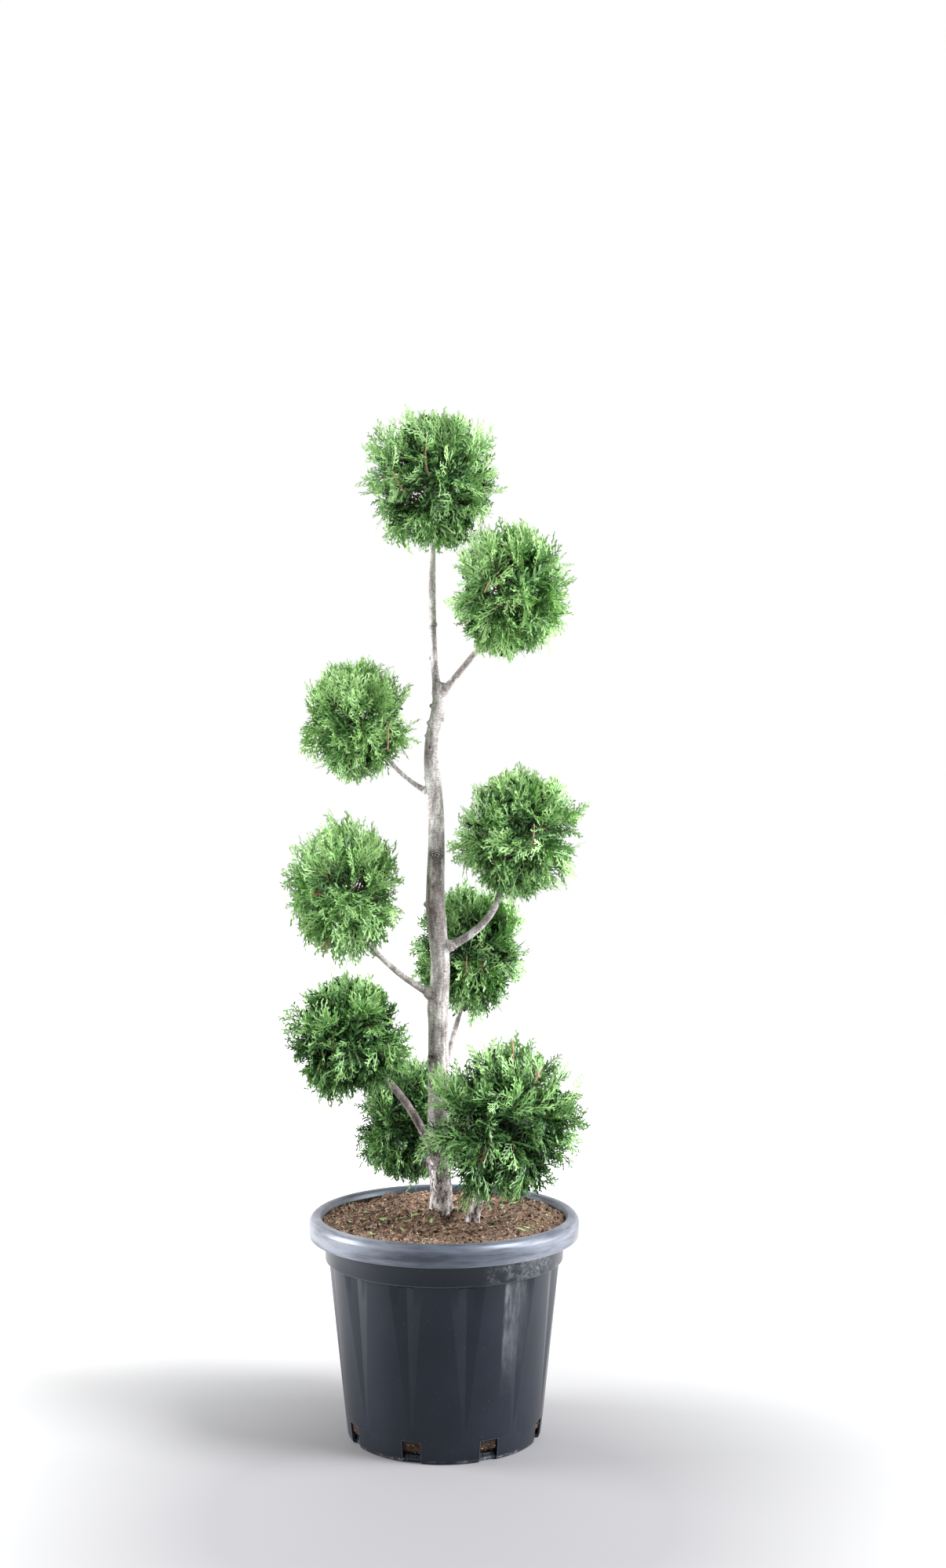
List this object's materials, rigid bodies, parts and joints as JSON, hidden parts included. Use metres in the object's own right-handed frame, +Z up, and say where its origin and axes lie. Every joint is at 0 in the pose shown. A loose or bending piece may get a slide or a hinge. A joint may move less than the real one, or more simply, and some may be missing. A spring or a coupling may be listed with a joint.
{
  "type": "potted brabant arborvitae, clipped in balls",
  "caption": "Evergreen tree clipped into foliage balls on the boughs of one bent trunk, standing in a round plastic pot of soil.",
  "frame": {"origin": "centre of the pot's flat underside, on the ground", "axes": "+Z up along the trunk; the picture's viewer faces the -Y side, with +X to the right"},
  "size_m": [0.4174, 0.3894, 1.4759],
  "materials": {
    "pot": "satin moulded plastic, dark blue-grey, lightly scuffed",
    "soil": "moist brown peat, crumbly and fibrous",
    "bark": "smooth silver-grey bark with fine rings and knots",
    "foliage": "flat sprays of scale leaves, fresh mid-green"
  },
  "bodies": {
    "root": {"pot": "pot", "soil": "soil", "trunk": "bark", "leader": "bark", "bough_upper_right": "bark", "bough_left_high": "bark", "bough_right_middle": "bark", "bough_left_middle": "bark", "bough_back_middle": "bark", "bough_left_low": "bark", "bough_back_low": "bark", "low_stem": "bark", "foliage_top": "foliage", "foliage_upper_right": "foliage", "foliage_left_high": "foliage", "foliage_right_middle": "foliage", "foliage_left_middle": "foliage", "foliage_back_middle": "foliage", "foliage_left_low": "foliage", "foliage_back_low": "foliage", "foliage_front_low": "foliage"}
  },
  "joints": []
}
